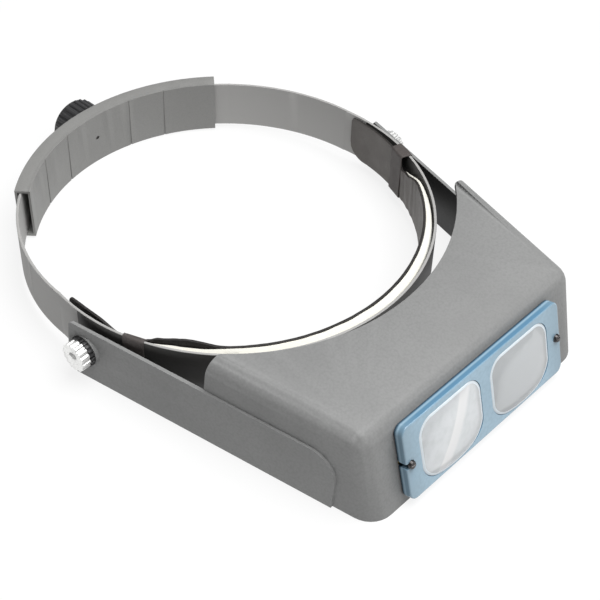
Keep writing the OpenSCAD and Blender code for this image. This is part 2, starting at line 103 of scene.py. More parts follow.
# Painted reflection on the near lens: the two edges of a slanted pale band, and its slant
PAINTED_REFLECTION_BAND = (-40.2 * MM, -33.3 * MM)
PAINTED_REFLECTION_SLANT = -0.65
SCREW_X = 49.2 * MM
HOLE_R = 1.4 * MM
PLATE_SEAT = 0.05 * MM
POCKET_GAP = 0.2 * MM
POCKET_LEDGE = 1.2 * MM

# Inside of the visor in millimetres: foot, back edge, front, and the room that its ribs and bosses fill
FOOT_Z = 2
BACK_Y = -47
FRONT_Y = -95
SIDE_X = 30
RIB_X = 52.5
RIB_Y = -125
RIB_Z = 40.5

# Camera at the photograph's place
CAMERA_AT = Vector((-345.43, -312.08, 466.0)) * MM
CAMERA_AXES = ((0.6835, -0.7278, 0.0568), (0.4971, 0.5210, 0.6939), (-0.5346, -0.4460, 0.7178))
CAMERA_LENS = 84

RING = Matrix.Translation(RING_CENTRE) @ Matrix.Rotation(RING_LEAN, 4, "X")
PLATE = Matrix.Translation(PLATE_CENTRE) @ Matrix.Rotation(math.pi / 2 - PLATE_TILT, 4, "X")


# Settings

TINT = {"subtype": "COLOR", "size": 3, "min": 0, "max": 1}


class VisorLooks(bpy.types.PropertyGroup):
    """Sizes and colours of the moulded visor"""
    plastic: FloatVectorProperty(name="Plastic", description="Colour of the moulded visor",
                                 default=(0.243, 0.245, 0.243), **TINT)
    grain: FloatProperty(name="Grain", description="Size of the moulded pebbles", unit="LENGTH",
                         min=0.0003, max=0.004, default=0.0011)
    inside: FloatVectorProperty(name="Inside", description="Colour of the visor's inner faces",
                                default=(0.016, 0.016, 0.016), **TINT)
    edge: FloatProperty(name="Edge", description="Rounding of the moulded edges", unit="LENGTH",
                        min=0.0001, max=0.0009, default=0.00045)


class LensLooks(bpy.types.PropertyGroup):
    """Colours of the lens plate and its lenses"""
    blue: FloatVectorProperty(name="Blue", description="Colour of the lens plate's face",
                              default=(0.32, 0.47, 0.58), **TINT)
    # Deeper blue for the painted shade on the plate's edges and, darker still, for the painted contact
    # shadow at its foot
    plate_edge_shade: FloatVectorProperty(name="Deep blue", description="Colour of the lens plate's edges",
                                   default=(0.09, 0.22, 0.35), **TINT)
    ground: FloatVectorProperty(name="Ground rim", description="Colour of the lenses' ground rims",
                                default=(0.66, 0.72, 0.76), **TINT)
    glass: FloatVectorProperty(name="Glass", description="Tint of the lenses",
                               default=(0.93, 0.96, 0.98), **TINT)


class BandLooks(bpy.types.PropertyGroup):
    """Colours of the head ring and its comfort band"""
    strip: FloatVectorProperty(name="Strip", description="Colour of the plastic strip",
                               default=(0.235, 0.234, 0.227), **TINT)
    # Painted shade: near-black colour for the strip's faces between the pivots, in place of the shade of the
    # visor's arms and brow
    strip_dark: FloatVectorProperty(name="Strip front",
                                    description="Colour of the strip's faces between the pivots",
                                    default=(0.045, 0.044, 0.042), **TINT)
    leather: FloatVectorProperty(name="Leather", description="Colour of the leather facing",
                                 default=(0.094, 0.085, 0.078), **TINT)
    # Dark cut edges of the leather, and painted shade on its back where it faces the strip across a narrow
    # gap
    raw: FloatVectorProperty(name="Raw leather", description="Colour of the leather's edges and back",
                             default=(0.013, 0.011, 0.010), **TINT)
    loop: FloatVectorProperty(name="Loops", description="Colour of the leather loops",
                              default=(0.064, 0.055, 0.052), **TINT)
    foam: FloatVectorProperty(name="Foam", description="Colour of the foam cushion",
                              default=(0.78, 0.77, 0.71), **TINT)
    wrinkle: FloatProperty(name="Wrinkles", description="Depth of the wrinkles in the leather",
                           unit="LENGTH", min=0, max=0.001, default=0.0003)


class HardwareLooks(bpy.types.PropertyGroup):
    """Colours of the metal pieces and the knob"""
    plating: FloatVectorProperty(name="Plating", description="Colour of the bright plating",
                                 default=(0.93, 0.93, 0.92), **TINT)
    dark_steel: FloatVectorProperty(name="Dark steel", description="Colour of the lens screws",
                                    default=(0.09, 0.085, 0.085), **TINT)
    brass: FloatVectorProperty(name="Brass", description="Colour of the screw inserts",
                               default=(0.62, 0.43, 0.16), **TINT)
    black: FloatVectorProperty(name="Black plastic", description="Colour of the knob and the washers",
                               default=(0.026, 0.026, 0.027), **TINT)


class StageLooks(bpy.types.PropertyGroup):
    """Floor and studio light"""
    floor: FloatVectorProperty(name="Floor", description="Colour of the floor",
                               default=(0.13, 0.13, 0.13), **TINT)
    table: FloatProperty(name="Light table",
                         description="Strength of the light that comes up through the floor",
                         min=0, max=2, default=0.84)
    key: FloatProperty(name="Key light", description="Power of the overhead light", unit="POWER",
                       min=0, max=200, default=27)
    fill: FloatProperty(name="Fill", description="Strength of the light from all round", min=0, max=3,
                        default=0.13)


# Node groups

def node_group(name, colours=(), values=(), outputs=("Height",)):
    """A shader group with named inputs, its Object coordinates, and its two end nodes"""
    group = bpy.data.node_groups.new(name, "ShaderNodeTree")
    for label in colours:
        group.interface.new_socket(label, in_out="INPUT", socket_type="NodeSocketColor")
    for label, start in values:
        socket = group.interface.new_socket(label, in_out="INPUT", socket_type="NodeSocketFloat")
        socket.default_value = start
    for label in outputs:
        kind = "NodeSocketColor" if label == "Colour" else "NodeSocketFloat"
        group.interface.new_socket(label, in_out="OUTPUT", socket_type=kind)
    return group, group.nodes.new("NodeGroupInput"), group.nodes.new("NodeGroupOutput")


def join(tree, source, target):
    tree.links.new(source, target)


def add(tree, kind, **settings):
    """A node with its settings, whose inputs are given by name or filled from another node's output"""
    made = tree.nodes.new(kind)
    inputs = settings.pop("inputs", {})
    for key, value in settings.items():
        setattr(made, key, value)
    for key, value in inputs.items():
        if isinstance(value, bpy.types.NodeSocket):
            join(tree, value, made.inputs[key])
        else:
            made.inputs[key].default_value = value
    return made


def mixed(tree, a, b, factor):
    """Colour mix of a and b"""
    mix = add(tree, "ShaderNodeMix", data_type="RGBA")
    for index, value in ((0, factor), (6, a), (7, b)):
        if isinstance(value, bpy.types.NodeSocket):
            join(tree, value, mix.inputs[index])
        else:
            mix.inputs[index].default_value = value
    return mix.outputs[2]


def maths(tree, operation, a, b=0.5):
    return add(tree, "ShaderNodeMath", operation=operation, inputs={0: a, 1: b}).outputs[0]


def ramp(tree, value, low, high):
    """Value stretched from low..high to 0..1"""
    made = add(tree, "ShaderNodeMapRange", inputs={"Value": value, "From Min": low, "From Max": high})
    return made.outputs[0]


def moulded_grain():
    """Pebbled or matt moulded plastic: pebbles, slow cloudiness, rubbed spots, and painted shade in the
    pebbles' hollows
    """
    group, start, end = node_group("moulded_grain", ("Colour", "Shade"),
                                   (("Pebbles", 900.0), ("Cloud", 0.25), ("Rough", 0.55)),
                                   ("Colour", "Roughness", "Height"))
    place = add(group, "ShaderNodeTexCoord").outputs["Object"]
    cells = add(group, "ShaderNodeTexVoronoi", feature="SMOOTH_F1",
                inputs={"Vector": place, "Scale": start.outputs["Pebbles"], "Smoothness": 0.6})
    fine = add(group, "ShaderNodeTexNoise", inputs={"Vector": place, "Scale": 2400.0, "Detail": 2.0})
    cloud = add(group, "ShaderNodeTexNoise", inputs={"Vector": place, "Scale": 22.0, "Detail": 5.0,
                                                     "Roughness": 0.6})
    pebble = maths(group, "SUBTRACT", 1.0, cells.outputs["Distance"])
    height = maths(group, "ADD", maths(group, "MULTIPLY", pebble, 0.8),
                   maths(group, "MULTIPLY", fine.outputs["Fac"], 0.35))
    spots = ramp(group, cloud.outputs["Fac"], 0.36, 0.68)
    tint = mixed(group, start.outputs["Colour"], start.outputs["Shade"],
                 maths(group, "MULTIPLY", spots, start.outputs["Cloud"]))
    # Painted shade: in the hollows between the pebbles the colour moves towards the Shade colour
    valley = ramp(group, cells.outputs["Distance"], 0.35, 0.8)
    tint = mixed(group, tint, start.outputs["Shade"], maths(group, "MULTIPLY", valley, 0.35))
    rough = maths(group, "ADD", start.outputs["Rough"], maths(group, "MULTIPLY", spots, 0.1))
    join(group, tint, end.inputs["Colour"])
    join(group, rough, end.inputs["Roughness"])
    join(group, height, end.inputs["Height"])
    return group


def hide_grain():
    """Leather: pores, cells and creases"""
    group, start, end = node_group("hide_grain", ("Colour", "Worn"), (("Cells", 1100.0), ("Wear", 0.3)),
                                   ("Colour", "Roughness", "Height"))
    place = add(group, "ShaderNodeTexCoord").outputs["Object"]
    cells = add(group, "ShaderNodeTexVoronoi", feature="DISTANCE_TO_EDGE",
                inputs={"Vector": place, "Scale": start.outputs["Cells"]})
    slow = add(group, "ShaderNodeTexNoise", inputs={"Vector": place, "Scale": 55.0, "Detail": 6.0,
                                                    "Roughness": 0.65})
    pores = add(group, "ShaderNodeTexNoise", inputs={"Vector": place, "Scale": 3200.0, "Detail": 1.0})
    crease = ramp(group, cells.outputs["Distance"], 0.0, 0.14)
    height = maths(group, "ADD", maths(group, "MULTIPLY", crease, 0.6),
                   maths(group, "MULTIPLY", pores.outputs["Fac"], 0.3))
    height = maths(group, "ADD", height, maths(group, "MULTIPLY", slow.outputs["Fac"], 1.2))
    rubbed = ramp(group, slow.outputs["Fac"], 0.42, 0.72)
    tint = mixed(group, start.outputs["Colour"], start.outputs["Worn"],
                 maths(group, "MULTIPLY", rubbed, start.outputs["Wear"]))
    rough = maths(group, "SUBTRACT", 0.62, maths(group, "MULTIPLY", rubbed, 0.16))
    join(group, tint, end.inputs["Colour"])
    join(group, rough, end.inputs["Roughness"])
    join(group, height, end.inputs["Height"])
    return group


def foam_cells():
    """Open-cell foam with a slightly yellowed skin"""
    group, start, end = node_group("foam_cells", ("Colour", "Aged"), (("Cells", 1800.0),),
                                   ("Colour", "Height"))
    place = add(group, "ShaderNodeTexCoord").outputs["Object"]
    cells = add(group, "ShaderNodeTexVoronoi", inputs={"Vector": place, "Scale": start.outputs["Cells"]})
    slow = add(group, "ShaderNodeTexNoise", inputs={"Vector": place, "Scale": 60.0, "Detail": 4.0})
    hole = ramp(group, cells.outputs["Distance"], 0.1, 0.6)
    tint = mixed(group, start.outputs["Colour"], start.outputs["Aged"],
                 maths(group, "MULTIPLY", ramp(group, slow.outputs["Fac"], 0.4, 0.75), 0.6))
    join(group, tint, end.inputs["Colour"])
    join(group, hole, end.inputs["Height"])
    return group


def metal_wear():
    """Plated or turned metal: fine tool marks and dulled patches"""
    group, start, end = node_group("metal_wear", ("Colour", "Dull"), (("Rough", 0.18), ("Marks", 1500.0)),
                                   ("Colour", "Roughness", "Height"))
    place = add(group, "ShaderNodeTexCoord").outputs["Object"]
    stretched = add(group, "ShaderNodeMapping", inputs={"Vector": place, "Scale": (0.15, 1.0, 1.0)})
    marks = add(group, "ShaderNodeTexNoise", inputs={"Vector": stretched.outputs[0],
                                                     "Scale": start.outputs["Marks"], "Detail": 2.0})
    patch = add(group, "ShaderNodeTexNoise", inputs={"Vector": place, "Scale": 260.0, "Detail": 4.0})
    dulled = ramp(group, patch.outputs["Fac"], 0.45, 0.7)
    join(group, mixed(group, start.outputs["Colour"], start.outputs["Dull"],
                      maths(group, "MULTIPLY", dulled, 0.5)), end.inputs["Colour"])
    join(group, maths(group, "ADD", start.outputs["Rough"], maths(group, "MULTIPLY", dulled, 0.14)),
         end.inputs["Roughness"])
    join(group, marks.outputs["Fac"], end.inputs["Height"])
    return group


EFFECTS = {}


def effect(maker):
    """The node group that maker builds, built once"""
    if maker.__name__ not in EFFECTS:
        EFFECTS[maker.__name__] = maker()
    return EFFECTS[maker.__name__]


def rgba(colour, share=1.0):
    return tuple(min(1.0, c * share) for c in colour) + (1.0,)


def finish_material(name, maker, inputs, bump, distance, sockets=None):
    """A Principled material whose colour, roughness and bump come from one of the effects above"""
    material = bpy.data.materials.new(name)
    material.use_nodes = True
    tree = material.node_tree
    shader = tree.nodes["Principled BSDF"]
    made = add(tree, "ShaderNodeGroup", node_tree=effect(maker), inputs=inputs)
    join(tree, made.outputs["Colour"], shader.inputs["Base Color"])
    if "Roughness" in made.outputs:
        join(tree, made.outputs["Roughness"], shader.inputs["Roughness"])
    raised = add(tree, "ShaderNodeBump", inputs={"Strength": bump, "Distance": distance,
                                                 "Height": made.outputs["Height"]})
    join(tree, raised.outputs[0], shader.inputs["Normal"])
    for socket, value in (sockets or {}).items():
        shader.inputs[socket].default_value = value
    return material


def plastic(name, colour, shade=0.72, pebbles=900.0, bump=0.3, distance=0.0002, rough=0.55, cloud=0.3,
            **sockets):
    return finish_material(name, moulded_grain, {"Colour": rgba(colour), "Shade": rgba(colour, shade),
                                                 "Pebbles": pebbles, "Cloud": cloud, "Rough": rough},
                           bump, distance, sockets)


def metal(name, colour, rough=0.18, dull=0.6, **sockets):
    return finish_material(name, metal_wear, {"Colour": rgba(colour), "Dull": rgba(colour, dull),
                                              "Rough": rough}, 0.12, 0.00005, {"Metallic": 1.0, **sockets})


# Modelling

def alone(piece):
    """Deselects everything, then selects piece and makes it active"""
    bpy.ops.object.select_all(action="DESELECT")
    piece.select_set(True)
    bpy.context.view_layer.objects.active = piece


def edit(piece, mode="VERT"):
    alone(piece)
    bpy.ops.object.mode_set(mode="EDIT")
    bpy.ops.mesh.select_mode(type=mode)
    bpy.ops.mesh.select_all(action="SELECT")


def pick(piece, mode, kind, chosen):
    """Leaves piece in edit mode with only those edges or polygons selected for which chosen is true"""
    edit(piece, mode)
    bpy.ops.mesh.select_all(action="DESELECT")
    bpy.ops.object.mode_set(mode="OBJECT")
    for item in getattr(piece.data, kind):
        item.select = chosen(item)
    bpy.ops.object.mode_set(mode="EDIT")


def apply_modifier(piece, kind, **settings):
    alone(piece)
    made = piece.modifiers.new(kind.lower(), kind)
    for key, value in settings.items():
        setattr(made, key, value)
    bpy.ops.object.modifier_apply(modifier=made.name)


def settle(piece, matrix=None):
    """Puts the piece's place into its mesh, so that its object sits at the origin"""
    if matrix is not None:
        piece.matrix_world = matrix @ piece.matrix_world
    alone(piece)
    bpy.ops.object.transform_apply(location=True, rotation=True, scale=True)


def dress(piece, name, material, body, slot, *nodes, angle=35):
    """Names the piece, gives it its finish, and lets it stand for its CAD nodes"""
    piece.name = name
    piece.data.name = name
    piece.data.materials.clear()
    piece.data.materials.append(material)
    apply_modifier(piece, "TRIANGULATE", min_vertices=5, keep_custom_normals=True)
    alone(piece)
    bpy.ops.object.shade_smooth_by_angle(angle=math.radians(angle))
    if body:
        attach(piece, body)
    if nodes:
        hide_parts(*nodes)
    return piece


def solid_copy(node, round_by, segments=2, angle=30):
    """A copy of a CAD solid with its triangles merged into faces and its edges rounded"""
    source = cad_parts[node]
    piece = bpy.data.objects.new(node + "_copy", source.data.copy())
    bpy.context.scene.collection.objects.link(piece)
    for key in list(piece.keys()):
        del piece[key]
    edit(piece)
    bpy.ops.mesh.customdata_custom_splitnormals_clear()
    bpy.ops.mesh.remove_doubles(threshold=2e-6)
    bpy.ops.mesh.dissolve_limited(angle_limit=math.radians(0.6))
    bpy.ops.object.mode_set(mode="OBJECT")
    if round_by:
        apply_modifier(piece, "BEVEL", width=round_by, segments=segments, limit_method="ANGLE",
                       angle_limit=math.radians(angle), use_clamp_overlap=True, miter_outer="MITER_ARC",
                       loop_slide=False)
        apply_modifier(piece, "WEIGHTED_NORMAL", weight=60, keep_sharp=False)
    return piece


def grid(name, across, along, place):
    """A grid whose points are put by place(u, v), with u and v from 0 to 1"""
    bpy.ops.object.select_all(action="DESELECT")
    bpy.ops.mesh.primitive_grid_add(x_subdivisions=across, y_subdivisions=along, size=1)
    piece = bpy.context.active_object
    piece.name = name
    for vertex in piece.data.vertices:
        vertex.co = place(vertex.co.x + 0.5, vertex.co.y + 0.5)
    return piece


def on_ring(angle, radius, height, shift=0.0):
    """Point of the head ring: angle in degrees from the back towards the wearer's left"""
    turn = math.radians(angle)
    return RING @ Vector((radius * math.sin(turn), shift + radius * math.cos(turn), height))


def outward(piece):
    edit(piece)
    bpy.ops.mesh.remove_doubles(threshold=1e-6)
    bpy.ops.mesh.normals_make_consistent(inside=False)
    bpy.ops.object.mode_set(mode="OBJECT")


def bulged(x, width):
    """Share by which a lens outline reaches further down than its rectangle, at x from its middle"""
    return 1 + LENS_BULGE * (1 - 2 * (2 * x / width) ** 2)


def bar(name, width, height, depth, low, corner, matrix=None, bulge=False):
    """A rounded rectangle of the given width and height that stands depth tall from low;
    its lower edge may be bulged"""
    bpy.ops.object.select_all(action="DESELECT")
    bpy.ops.mesh.primitive_cube_add(size=1, location=(0, 0, low + depth / 2))
    piece = bpy.context.active_object
    piece.name = name
    piece.scale = (width, height, depth)
    settle(piece)

    def ends(rim):
        return (piece.data.vertices[index].co for index in rim.vertices)

    def upright(rim):
        first, last = ends(rim)
        return abs(first.z - last.z) > depth / 2

    def lower(rim):
        first, last = ends(rim)
        return max(first.y, last.y) < 1e-6 - height / 2 and abs(first.x - last.x) > width / 4
    if corner:
        pick(piece, "EDGE", "edges", upright)
        bpy.ops.mesh.bevel(offset=corner, segments=12, affect="EDGES")
        bpy.ops.object.mode_set(mode="OBJECT")
    if bulge:
        pick(piece, "EDGE", "edges", lower)
        bpy.ops.mesh.subdivide(number_cuts=23)
        bpy.ops.object.mode_set(mode="OBJECT")
        for vertex in piece.data.vertices:
            if vertex.co.y < 0:
                vertex.co.y *= bulged(vertex.co.x, width)
    if matrix is not None:
        settle(piece, matrix)
    return piece


def cut(piece, tool):
    """Takes tool out of piece and removes tool"""
    apply_modifier(piece, "BOOLEAN", operation="DIFFERENCE", object=tool, solver="EXACT")
    bpy.data.objects.remove(tool)


def round_edges(piece, width, segments=3, angle=30):
    apply_modifier(piece, "BEVEL", width=width, segments=segments, limit_method="ANGLE",
                   angle_limit=math.radians(angle), use_clamp_overlap=True, loop_slide=False)


# Visor

class MAGNIFIER_OT_visor_shell(bpy.types.Operator):
    """Moulded visor with its raised side panels and arms"""
    bl_idname = "magnifier.visor_shell"
    bl_label = "Visor shell"

    def execute(self, context):
        looks = context.scene.visor_looks
        piece = solid_copy("visor_shell", looks.edge, 3)
        material = plastic("visor_plastic", looks.plastic, pebbles=1 / looks.grain, bump=0.45,
                           distance=0.00018, rough=0.56, cloud=0.35)
        dress(piece, "visor", material, "visor", "visor_plastic", "visor_shell", angle=40)
        inside = plastic("visor_inside", looks.inside, 1.7, 1 / looks.grain, 0.3, 0.00015, 0.6)
        second_finish(piece, inside, inner_face)
        return {"FINISHED"}


def second_finish(piece, material, chosen):
    """Gives the faces for which chosen(face) is true another material"""
    piece.data.materials.append(material)
    for face in piece.data.polygons:
        if chosen(face):
            face.material_index = 1


def inner_face(face):
    """True for a face on the inside of the visor or of its arms, or on a rib or boss in it"""
    x, y, z = face.center / MM
    normal = face.normal
    wall = abs(x) > SIDE_X and normal.x * math.copysign(1, x) < -0.3
    ceiling = normal.z < -0.3 and z > FOOT_Z and y < BACK_Y
    front = normal.y > 0.3 and y < FRONT_Y
    room = abs(x) < RIB_X and RIB_Y < y < BACK_Y and FOOT_Z < z < RIB_Z
    rib = room and normal.z < 0.3 and normal.y > -0.6
    return wall or ceiling or front or rib


class MAGNIFIER_OT_lens_plate(bpy.types.Operator):
    """Blue lens plate with its lens pockets, round hole and open screw slot"""
    bl_idname = "magnifier.lens_plate"
    bl_label = "Lens plate"

    def execute(self, context):
        looks = context.scene.lens_looks
        piece = bar("plate", PLATE_W, PLATE_H, PLATE_T - PLATE_SEAT, PLATE_SEAT, 4 * MM)
        round_edges(piece, 0.7 * MM)
        for side in (-1, 1):
            centre = Matrix.Translation((side * LENS_X, 0, 0))
            cut(piece, bar("pocket", LENS_W + POCKET_GAP, LENS_H + POCKET_GAP, PLATE_T, LENS_Z, LENS_R,
                           centre, True))
            cut(piece, bar("window", LENS_W - 2 * POCKET_LEDGE, LENS_H - 2 * POCKET_LEDGE, 4 * PLATE_T,
                           -2 * PLATE_T, LENS_R - POCKET_LEDGE, centre, True))
            bpy.ops.object.select_all(action="DESELECT")
            bpy.ops.mesh.primitive_cylinder_add(vertices=48, radius=HOLE_R, depth=4 * PLATE_T,
                                                location=(side * SCREW_X, 0, 0))
            tool = bpy.context.active_object
            settle(tool)
            cut(piece, tool)
        slot = PLATE_W / 2 - SCREW_X + 1 * MM
        cut(piece, bar("slot", slot, 2 * HOLE_R, 4 * PLATE_T, -2 * PLATE_T, 0,
                       Matrix.Translation((-SCREW_X - slot / 2, 0, 0))))
        settle(piece, PLATE)
        alone(piece)
        bpy.ops.object.shade_smooth_by_angle(angle=math.radians(40))
        apply_modifier(piece, "WEIGHTED_NORMAL", weight=60, keep_sharp=True)
        dress(piece, "blue_plate", plate_material(looks), "visor", "blue_plate", "lens_plate", angle=40)
        return {"FINISHED"}


def plate_material(looks):
    """Blue plastic, deeper at its ends, with painted shade in deeper blue on the faces turned from its
    front, a painted highlight as a pale line round its side, and a painted contact shadow as a dark foot
    """
    material = plastic("blue_plate_plastic", looks.blue, 0.7, 700.0, 0.08, 0.0001, 0.16, 0.5,
                       **{"Coat Weight": 0.35, "IOR": 1.49})
    tree = material.node_tree
    shader = tree.nodes["Principled BSDF"]
    base = shader.inputs["Base Color"].links[0].from_socket
    coordinates = add(tree, "ShaderNodeTexCoord")
    # Painted shade: faces turned away from the plate's front are painted deeper blue
    facing = add(tree, "ShaderNodeVectorMath", operation="DOT_PRODUCT",
                 inputs={0: coordinates.outputs["Normal"],
                         1: (0, -math.cos(PLATE_TILT), math.sin(PLATE_TILT))}).outputs["Value"]
    edge = ramp(tree, maths(tree, "ABSOLUTE", facing), 0.95, 0.35)
    deep = mixed(tree, base, rgba(looks.plate_edge_shade), maths(tree, "MULTIPLY", edge, 0.9))
    seat = PLATE.inverted()
    turned = add(tree, "ShaderNodeMapping", inputs={"Vector": coordinates.outputs["Object"],
                                                    "Location": seat.translation,
                                                    "Rotation": seat.to_euler()})
    spot = add(tree, "ShaderNodeSeparateXYZ", inputs={"Vector": turned.outputs[0]}).outputs
    ends = ramp(tree, maths(tree, "ABSOLUTE", spot["X"]), 0.041, 0.053)
    deep = mixed(tree, deep, rgba(looks.blue, 0.66), maths(tree, "MULTIPLY", ends, 0.8))
    # Painted highlight: a pale line round the plate's side, a little above its foot
    pale = maths(tree, "MULTIPLY", ramp(tree, spot["Z"], 0.0012, 0.0018),
                 ramp(tree, spot["Z"], 0.0029, 0.0022))
    deep = mixed(tree, deep, rgba(looks.blue), maths(tree, "MULTIPLY", pale, 0.8))
    # Painted contact shadow: the plate's foot against the front wall is painted dark
    deep = mixed(tree, deep, rgba(looks.plate_edge_shade, 0.25), ramp(tree, spot["Z"], 0.0016, 0.0009))
    join(tree, deep, shader.inputs["Base Color"])
    return material


class MAGNIFIER_OT_lenses(bpy.types.Operator):
    """Two glass lenses with domed faces and ground rims"""
    bl_idname = "magnifier.lenses"
    bl_label = "Lenses"

    def execute(self, context):
        looks = context.scene.lens_looks
        material = lens_material(looks)
        ground = plastic("lens_ground", looks.ground, 0.9, 1800.0, 0.15, 0.0001, 0.5, 0.4)
        for side, node in ((1, "lens_left"), (-1, "lens_right")):
            piece = bar("lens", LENS_W, LENS_H, 3 * MM, LENS_Z, LENS_R, bulge=True)
            top = max(piece.data.polygons, key=lambda face: face.center.z).index
            pick(piece, "FACE", "polygons", lambda face: face.index == top)
            ceiling = LENS_Z + 2.9 * MM
            for ring in range(LENS_RINGS, 1, -1):
                share = (ring - 1) / ring
                bpy.ops.mesh.extrude_region_move()
                bpy.ops.transform.resize(value=(share, share, 1), center_override=(0, 0, ceiling))
            bpy.ops.mesh.merge(type="CENTER")
            bpy.ops.object.mode_set(mode="OBJECT")
            for vertex in piece.data.vertices:
                if vertex.co.z > ceiling:
                    reach = vertex.co.x ** 2 + vertex.co.y ** 2
                    vertex.co.z = LENS_TOP - LENS_DOME + math.sqrt(LENS_DOME ** 2 - reach)
            round_edges(piece, 0.3 * MM, 3, 40)
            settle(piece, PLATE @ Matrix.Translation((side * LENS_X, 0, 0)))
            dress(piece, node.replace("lens_", "glass_"), material, "visor", "lens_glass", node, angle=40)
            centre = PLATE @ Vector((side * LENS_X, 0, 0))
            second_finish(piece, ground, lambda face: on_rim(face, centre))
        return {"FINISHED"}


def on_rim(face, centre):
    """True for the outer ring, the rounding and the wall of a lens"""
    spot = PLATE.to_3x3().transposed() @ (face.center - centre)
    if spot.y < 0:
        spot.y /= bulged(spot.x, LENS_W)
    inner = 1 - 1.2 / LENS_RINGS
    across, up = abs(spot.x) / (LENS_W / 2 * inner), abs(spot.y) / (LENS_H / 2 * inner)
    corner = Vector((abs(spot.x) - (LENS_W / 2 - LENS_R) * inner,
                     abs(spot.y) - (LENS_H / 2 - LENS_R) * inner))
    bend = min(corner) > 0 and corner.length > LENS_R * inner
    return spot.z > LENS_Z + 0.2 * MM and (across > 1 or up > 1 or bend)


def lens_material(looks):
    """Milky glass with fine dust; a slanted painted reflection crosses the near lens as a pale band, and the
    far lens is painted darker as painted shade
    """
    material = bpy.data.materials.new("lens_glass")
    material.use_nodes = True
    tree = material.node_tree
    shader = tree.nodes["Principled BSDF"]
    coordinates = add(tree, "ShaderNodeTexCoord").outputs["Object"]
    dust = add(tree, "ShaderNodeTexNoise", inputs={"Vector": coordinates, "Scale": 260.0, "Detail": 2.0})
    specks = ramp(tree, dust.outputs["Fac"], 0.45, 0.8)
    join(tree, maths(tree, "ADD", maths(tree, "MULTIPLY", specks, 0.05), 0.02), shader.inputs["Roughness"])
    spot = add(tree, "ShaderNodeSeparateXYZ", inputs={"Vector": coordinates}).outputs
    # Painted reflection: a slanted white band across the near lens
    slant = maths(tree, "ADD", spot["X"], maths(tree, "MULTIPLY", spot["Z"], PAINTED_REFLECTION_SLANT))
    band = maths(tree, "MULTIPLY", ramp(tree, slant, PAINTED_REFLECTION_BAND[0] - 0.6 * MM, PAINTED_REFLECTION_BAND[0] + 0.4 * MM),
                 ramp(tree, slant, PAINTED_REFLECTION_BAND[1] + 1.2 * MM, PAINTED_REFLECTION_BAND[1] - 1.2 * MM))
    tint = mixed(tree, rgba(looks.glass, 0.90), rgba(looks.glass, 0.78), specks)
    # Painted shade: the far lens is painted darker than the near one
    tint = mixed(tree, tint, rgba(looks.glass, 0.70), ramp(tree, spot["X"], 0.0, 0.004))
    join(tree, mixed(tree, tint, (1.0, 1.0, 1.0, 1.0), band), shader.inputs["Base Color"])
    shader.inputs["Transmission Weight"].default_value = 0.45
    shader.inputs["IOR"].default_value = 1.5
    return material


class MAGNIFIER_OT_lens_hardware(bpy.types.Operator):
    """Dark slotted screws of the lens plate and the brass inserts they run into"""
    bl_idname = "magnifier.lens_hardware"
    bl_label = "Lens screws and inserts"

    def execute(self, context):
        looks = context.scene.hardware_looks
        dark = metal("dark_steel", looks.dark_steel, 0.32)
        for side in ("left", "right"):
            dress(solid_copy("lens_screw_" + side, 0.12 * MM), "screw_" + side, dark, side + "_screw",
                  "dark_steel", "lens_screw_" + side)
        dress(solid_copy("lens_inserts", 0.12 * MM), "inserts", metal("insert_brass", looks.brass, 0.3),
              "visor", "insert_brass", "lens_inserts")
        return {"FINISHED"}


class MAGNIFIER_OT_pivots(bpy.types.Operator):
    """Bolts, collars, washers and nuts of the two pivots"""
    bl_idname = "magnifier.pivots"
    bl_label = "Pivots"

    def execute(self, context):
        looks = context.scene.hardware_looks
        bright = metal("bright_plating", looks.plating, 0.3, 0.8, Metallic=0.7)
        steel = metal("plated_steel", looks.plating, 0.26)
        black = plastic("black_washers", looks.black, 1.6, 1500.0, 0.2, 0.0001, 0.4)
        for side in ("left", "right"):
            dress(solid_copy("pivot_bolt_" + side, 0.2 * MM), "bolt_" + side, steel, "headband",
                  "plated_steel", "pivot_bolt_" + side)
            dress(solid_copy("pivot_collar_" + side, 0.15 * MM), "collar_" + side, black, "headband",
                  "black_plastic", "pivot_collar_" + side)
            dress(solid_copy("spring_washer_" + side, 0.08 * MM), "spring_washer_" + side + "_ring", steel,
                  "headband", "plated_steel", "spring_washer_" + side)
            dress(solid_copy("toothed_washer_" + side, 0.15 * MM), "toothed_washer_" + side + "_ring", black,
                  "visor", "black_plastic", "toothed_washer_" + side)
            dress(solid_copy("pivot_nut_" + side, 0.3 * MM, 3), "nut_" + side, bright, side + "_nut",
                  "bright_plating", "pivot_nut_" + side)
        return {"FINISHED"}


# Head ring

class MAGNIFIER_OT_front_strip(bpy.types.Operator):
    """Front half of the head ring's plastic strip"""
    bl_idname = "magnifier.front_strip"
    bl_label = "Front strip"

    def execute(self, context):
        def place(u, v):
            angle = STRIP_END + u * (360 - 2 * STRIP_END)
            return on_ring(angle, STRIP_MID, (v - 0.5) * STRIP_H, STRIP_SHIFT)
        piece = grid("strip", 120, 3, place)
        apply_modifier(piece, "SOLIDIFY", thickness=STRIP_T, offset=0)
        outward(piece)
        round_edges(piece, 0.3 * MM)
        apply_modifier(piece, "WEIGHTED_NORMAL", weight=60)
        dress(piece, "strip_front", strip_material(), "headband", "strip_plastic", "front_strip")
        # Painted shade on the strip's outer and inner faces between the pivots
        dark = plastic("strip_dark", context.scene.band_looks.strip_dark, 0.8, 1700.0, 0.12, 0.0001, 0.5)
        second_finish(piece, dark, strip_side_in_shade)
        return {"FINISHED"}


def strip_side_in_shade(face):
    """True for the strip's outer and inner faces between the pivots, not for its top and bottom edges; these
    faces carry painted shade
    """
    spot = RING.inverted() @ face.center
    angle = math.degrees(math.atan2(spot.x, spot.y - STRIP_SHIFT)) % 360
    return SHADE_FROM < angle < SHADE_TO and abs(face.normal.z) < 0.5


